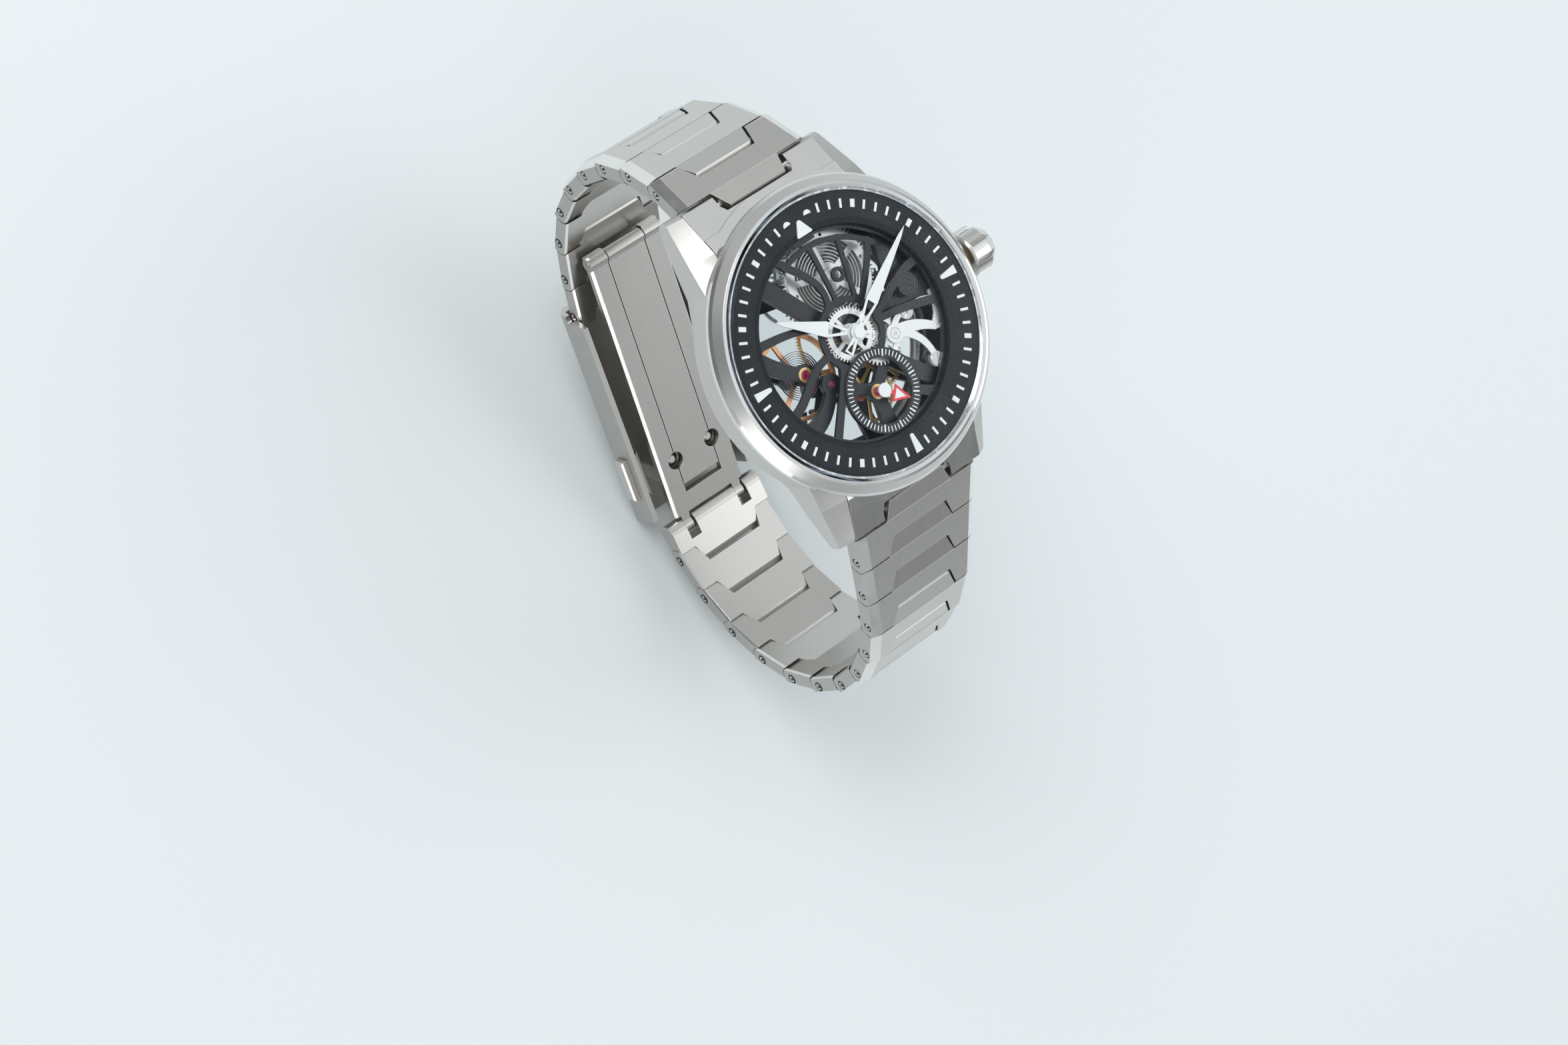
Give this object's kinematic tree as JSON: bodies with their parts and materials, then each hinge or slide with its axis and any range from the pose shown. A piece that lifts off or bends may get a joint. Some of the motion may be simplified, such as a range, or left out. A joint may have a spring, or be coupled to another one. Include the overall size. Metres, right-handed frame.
{
  "type": "skeleton wristwatch",
  "caption": "Mechanical skeleton wristwatch on a tapered metal bracelet with a folding push-button clasp, shown closed around a wrist-sized opening.",
  "frame": {"origin": "centre of the case back's outer face", "axes": "+Z out of the dial, +Y to 12 o'clock, +X to 3 o'clock and the crown"},
  "size_m": [0.0449, 0.0789, 0.0653],
  "materials": {
    "titanium": "brushed",
    "bezel_metal": "satin with a polished step",
    "sapphire": "clear",
    "black_plastic": "matt",
    "black_metal": "matt black",
    "white_lume": "matt white",
    "bright_steel": "fine brushed",
    "gilt": "gilt",
    "rose_gilt": "rose gilt",
    "dark_spring": "dark",
    "ruby": "polished",
    "white_hand": "white lacquer",
    "red_hand": "red lacquer",
    "steel_part": "fine brushed"
  },
  "bodies": {
    "case": {"case_middle": "titanium", "bezel": "bezel_metal", "crystal": "sapphire", "chapter_ring": "black_plastic", "case_back": "titanium", "back_crystal": "sapphire", "end_links": "titanium", "skeleton_dial": "black_metal", "hour_markers": "white_lume", "main_plate": "black_metal", "train_bridge": "black_metal", "balance_cock": "black_metal", "jewels": "ruby", "movement_screws": "steel_part", "keyless_works": "steel_part", "hairspring": "dark_spring"},
    "link_12_1": {"link_12_1": "titanium"},
    "link_12_2": {"link_12_2": "titanium"},
    "link_12_3": {"link_12_3": "titanium"},
    "link_12_4": {"link_12_4": "titanium"},
    "link_12_5": {"link_12_5": "titanium"},
    "link_12_6": {"link_12_6": "titanium"},
    "link_12_7": {"link_12_7": "titanium"},
    "link_12_8": {"link_12_8": "titanium"},
    "link_12_9": {"link_12_9": "titanium"},
    "link_6_1": {"link_6_1": "titanium"},
    "link_6_2": {"link_6_2": "titanium"},
    "link_6_3": {"link_6_3": "titanium"},
    "link_6_4": {"link_6_4": "titanium"},
    "link_6_5": {"link_6_5": "titanium"},
    "link_6_6": {"link_6_6": "titanium"},
    "link_6_7": {"link_6_7": "titanium"},
    "link_6_8": {"link_6_8": "titanium"},
    "link_6_9": {"link_6_9": "titanium"},
    "link_6_10": {"link_6_10": "titanium"},
    "link_6_11": {"link_6_11": "titanium"},
    "link_6_12": {"link_6_12": "titanium"},
    "clasp_cover": {"clasp_cover": "titanium"},
    "clasp_mid_blade": {"clasp_mid_blade": "titanium"},
    "clasp_frame_blade": {"clasp_frame_blade": "titanium"},
    "clasp_button_left": {"clasp_button_left": "titanium"},
    "clasp_button_right": {"clasp_button_right": "titanium"},
    "clasp_end_piece": {"clasp_end_piece": "titanium"},
    "winding_pinion": {"winding_pinion": "steel_part"},
    "crown": {"crown": "titanium"},
    "crown_wheel": {"crown_wheel": "steel_part"},
    "ratchet_wheel": {"ratchet_wheel": "steel_part"},
    "barrel": {"barrel": "bright_steel", "mainspring": "dark_spring"},
    "center_wheel": {"center_wheel": "gilt"},
    "third_wheel": {"third_wheel": "gilt"},
    "fourth_wheel": {"fourth_wheel": "gilt", "seconds_hand": "red_hand"},
    "escape_wheel": {"escape_wheel": "gilt"},
    "pallet_fork": {"pallet_fork": "steel_part"},
    "balance": {"balance_wheel": "rose_gilt"},
    "minute_hand": {"minute_hand": "white_hand"},
    "minute_wheel": {"minute_wheel": "bright_steel"},
    "hour_hand": {"hour_hand": "white_hand", "hour_wheel": "bright_steel"}
  },
  "joints": [
    {"name": "link_12_1_pin", "type": "hinge", "parent": "case", "child": "link_12_1", "pos_m": [0, 0.02145, 0.0024], "axis": [1, 0, 0], "range_deg": [0, 13]},
    {"name": "link_12_2_pin", "type": "hinge", "parent": "link_12_1", "child": "link_12_2", "pos_m": [0, 0.02591, -0.00176], "axis": [1, 0, 0], "range_deg": [0, 18]},
    {"name": "link_12_3_pin", "type": "hinge", "parent": "link_12_2", "child": "link_12_3", "pos_m": [0, 0.02914, -0.00693], "axis": [1, 0, 0], "range_deg": [0, 17]},
    {"name": "link_12_4_pin", "type": "hinge", "parent": "link_12_3", "child": "link_12_4", "pos_m": [0, 0.03103, -0.01273], "axis": [1, 0, 0], "range_deg": [0, 21]},
    {"name": "link_12_5_pin", "type": "hinge", "parent": "link_12_4", "child": "link_12_5", "pos_m": [0, 0.03103, -0.01883], "axis": [1, 0, 0], "range_deg": [0, 14.5]},
    {"name": "link_12_6_pin", "type": "hinge", "parent": "link_12_5", "child": "link_12_6", "pos_m": [0, 0.02981, -0.02481], "axis": [1, 0, 0], "range_deg": [0, 14]},
    {"name": "link_12_7_pin", "type": "hinge", "parent": "link_12_6", "child": "link_12_7", "pos_m": [0, 0.02748, -0.03045], "axis": [1, 0, 0], "range_deg": [0, 19.5]},
    {"name": "link_12_8_pin", "type": "hinge", "parent": "link_12_7", "child": "link_12_8", "pos_m": [0, 0.02364, -0.03519], "axis": [1, 0, 0], "range_deg": [0, 17.5]},
    {"name": "link_12_9_pin", "type": "hinge", "parent": "link_12_8", "child": "link_12_9", "pos_m": [0, 0.01874, -0.03882], "axis": [1, 0, 0], "range_deg": [0, 10]},
    {"name": "clasp_cover_pin", "type": "hinge", "parent": "link_12_9", "child": "clasp_cover", "pos_m": [0, 0.01343, -0.04182], "axis": [1, 0, 0], "range_deg": [0, 14.5]},
    {"name": "clasp_mid_fold", "type": "hinge", "parent": "clasp_cover", "child": "clasp_mid_blade", "pos_m": [0, -0.01258, -0.0486], "axis": [1, 0, 0], "range_deg": [0, 40]},
    {"name": "clasp_frame_fold", "type": "hinge", "parent": "clasp_mid_blade", "child": "clasp_frame_blade", "pos_m": [0, 0.01914, -0.03481], "axis": [-1, 0, 0], "range_deg": [0, 60]},
    {"name": "link_6_1_pin", "type": "hinge", "parent": "case", "child": "link_6_1", "pos_m": [0, -0.02145, 0.0024], "axis": [-1, 0, 0], "range_deg": [0, 7.5]},
    {"name": "link_6_2_pin", "type": "hinge", "parent": "link_6_1", "child": "link_6_2", "pos_m": [0, -0.02629, -0.00131], "axis": [-1, 0, 0], "range_deg": [0, 3]},
    {"name": "link_6_3_pin", "type": "hinge", "parent": "link_6_2", "child": "link_6_3", "pos_m": [0, -0.03113, -0.00503], "axis": [-1, 0, 0], "range_deg": [0, 3.5]},
    {"name": "link_6_4_pin", "type": "hinge", "parent": "link_6_3", "child": "link_6_4", "pos_m": [0, -0.03594, -0.00878], "axis": [-1, 0, 0], "range_deg": [0, 14]},
    {"name": "link_6_5_pin", "type": "hinge", "parent": "link_6_4", "child": "link_6_5", "pos_m": [0, -0.03994, -0.01339], "axis": [-1, 0, 0], "range_deg": [0, 15]},
    {"name": "link_6_6_pin", "type": "hinge", "parent": "link_6_5", "child": "link_6_6", "pos_m": [0, -0.0429, -0.01872], "axis": [-1, 0, 0], "range_deg": [0, 16]},
    {"name": "link_6_7_pin", "type": "hinge", "parent": "link_6_6", "child": "link_6_7", "pos_m": [0, -0.04458, -0.02458], "axis": [-1, 0, 0], "range_deg": [0, 18.5]},
    {"name": "link_6_8_pin", "type": "hinge", "parent": "link_6_7", "child": "link_6_8", "pos_m": [0, -0.04463, -0.03068], "axis": [-1, 0, 0], "range_deg": [0, 17]},
    {"name": "link_6_9_pin", "type": "hinge", "parent": "link_6_8", "child": "link_6_9", "pos_m": [0, -0.04321, -0.03662], "axis": [-1, 0, 0], "range_deg": [0, 22]},
    {"name": "link_6_10_pin", "type": "hinge", "parent": "link_6_9", "child": "link_6_10", "pos_m": [0, -0.03993, -0.04176], "axis": [-1, 0, 0], "range_deg": [0, 18.5]},
    {"name": "link_6_11_pin", "type": "hinge", "parent": "link_6_10", "child": "link_6_11", "pos_m": [0, -0.0354, -0.04584], "axis": [-1, 0, 0], "range_deg": [0, 19.5]},
    {"name": "link_6_12_pin", "type": "hinge", "parent": "link_6_11", "child": "link_6_12", "pos_m": [0, -0.02989, -0.04847], "axis": [-1, 0, 0], "range_deg": [0, 18.5]},
    {"name": "end_piece_pin", "type": "hinge", "parent": "link_6_12", "child": "clasp_end_piece", "pos_m": [0, -0.02388, -0.04953], "axis": [-1, 0, 0], "range_deg": [0, 21]},
    {"name": "button_left_press", "type": "slide", "parent": "clasp_cover", "child": "clasp_button_left", "axis": [1, 0, 0], "range_m": [0, 0.0009], "stiffness_N_per_m": 800, "springref_m": -0.001},
    {"name": "button_right_press", "type": "slide", "parent": "clasp_cover", "child": "clasp_button_right", "axis": [-1, 0, 0], "range_m": [0, 0.0009], "stiffness_N_per_m": 800, "springref_m": -0.001},
    {"name": "crown_turn", "type": "hinge", "parent": "case", "child": "winding_pinion", "pos_m": [0.0122, 0, 0.0048], "axis": [1, 0, 0], "continuous": true},
    {"name": "crown_pull", "type": "slide", "parent": "winding_pinion", "child": "crown", "axis": [1, 0, 0], "range_m": [0, 0.0018]},
    {"name": "crown_wheel_turn", "type": "hinge", "parent": "case", "child": "crown_wheel", "pos_m": [0.0095, 0, 0.0013], "axis": [0, 0, 1], "continuous": true},
    {"name": "ratchet_turn", "type": "hinge", "parent": "case", "child": "ratchet_wheel", "pos_m": [0.0022, 0.00717, 0.0013], "axis": [0, 0, 1], "continuous": true},
    {"name": "fourth_turn", "type": "hinge", "parent": "case", "child": "fourth_wheel", "pos_m": [0, -0.008, 0.0042], "axis": [0, 0, 1], "continuous": true},
    {"name": "third_turn", "type": "hinge", "parent": "case", "child": "third_wheel", "pos_m": [0.00338, -0.00477, 0.0035], "axis": [0, 0, 1], "continuous": true},
    {"name": "center_turn", "type": "hinge", "parent": "case", "child": "center_wheel", "pos_m": [0, 0, 0.0028], "axis": [0, 0, 1], "continuous": true},
    {"name": "barrel_turn", "type": "hinge", "parent": "case", "child": "barrel", "pos_m": [0.0022, 0.00717, 0.004], "axis": [0, 0, 1], "continuous": true},
    {"name": "escape_turn", "type": "hinge", "parent": "case", "child": "escape_wheel", "pos_m": [-0.00336, -0.0059, 0.0035], "axis": [0, 0, 1], "continuous": true},
    {"name": "pallet_rock", "type": "hinge", "parent": "case", "child": "pallet_fork", "pos_m": [-0.00523, -0.00403, 0.0035], "axis": [0, 0, 1], "range_deg": [-5, 5]},
    {"name": "balance_swing", "type": "hinge", "parent": "case", "child": "balance", "pos_m": [-0.0079, -0.0013, 0.0042], "axis": [0, 0, 1], "range_deg": [-135, 135], "stiffness_Nm_per_rad": 0.000001},
    {"name": "minute_hand_set", "type": "hinge", "parent": "case", "child": "minute_hand", "pos_m": [0, 0, 0.009], "axis": [0, 0, 1], "continuous": true},
    {"name": "minute_wheel_turn", "type": "hinge", "parent": "case", "child": "minute_wheel", "pos_m": [0.00349, -0.00244, 0.0067], "axis": [0, 0, 1], "continuous": true},
    {"name": "hour_turn", "type": "hinge", "parent": "case", "child": "hour_hand", "pos_m": [0, 0, 0.0085], "axis": [0, 0, 1], "continuous": true}
  ],
  "couplings": [
    {"joint": "crown_wheel_turn", "follows": "crown_turn", "ratio": 0.5},
    {"joint": "ratchet_turn", "follows": "crown_turn", "ratio": -0.375},
    {"joint": "third_turn", "follows": "fourth_turn", "ratio": -0.13333},
    {"joint": "center_turn", "follows": "fourth_turn", "ratio": 0.016667},
    {"joint": "barrel_turn", "follows": "fourth_turn", "ratio": -0.0025641},
    {"joint": "escape_turn", "follows": "fourth_turn", "ratio": -10},
    {"joint": "minute_wheel_turn", "follows": "minute_hand_set", "ratio": -0.33333},
    {"joint": "hour_turn", "follows": "minute_hand_set", "ratio": 0.083333}
  ]
}
